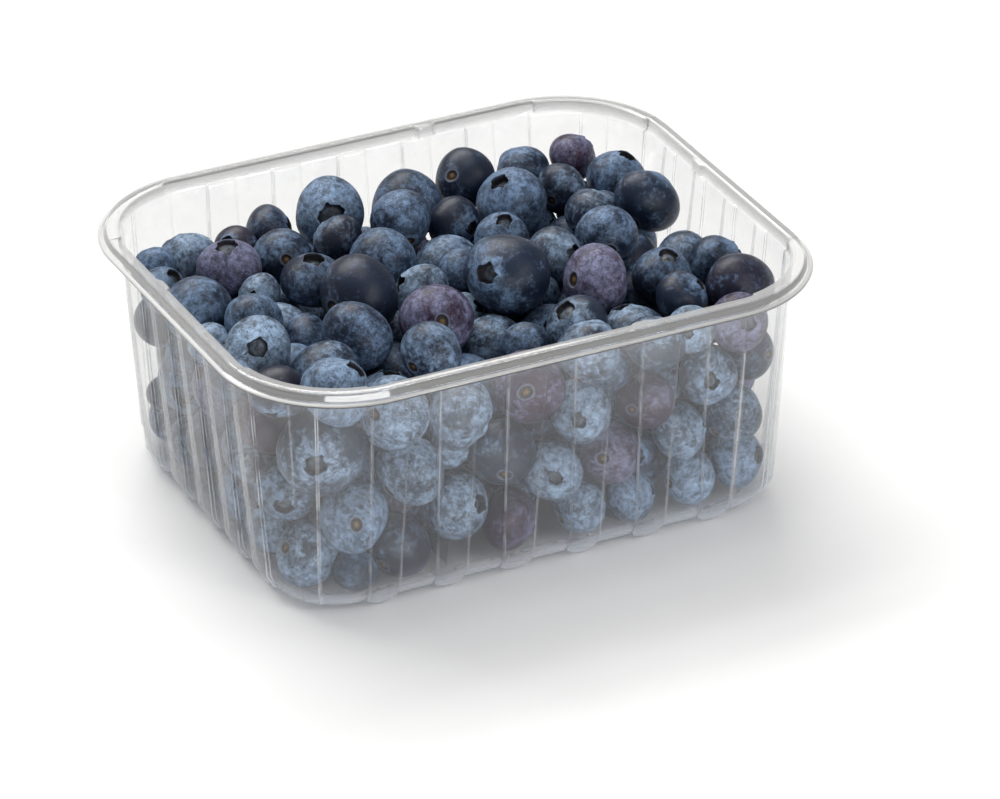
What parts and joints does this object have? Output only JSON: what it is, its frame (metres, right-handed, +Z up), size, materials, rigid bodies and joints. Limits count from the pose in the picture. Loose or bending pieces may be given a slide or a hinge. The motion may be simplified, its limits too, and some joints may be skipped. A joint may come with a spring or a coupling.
{
  "type": "punnet of blueberries",
  "caption": "Clear ribbed plastic fruit tray with a rounded rim, open on top and filled to just under the rim with loose blueberries.",
  "frame": {"origin": "middle of the tray's outline, on the surface that the tray's feet stand on", "axes": "+X along the tray's long side, +Y along its short side towards the back, +Z up"},
  "size_m": [0.145, 0.119, 0.0633],
  "materials": {
    "clear_film": "clear thin plastic, glossy",
    "berry_skin": "berry skin with a pale waxy bloom"
  },
  "bodies": {
    "root": {"tray": "clear_film", "berries": "berry_skin"}
  },
  "joints": []
}
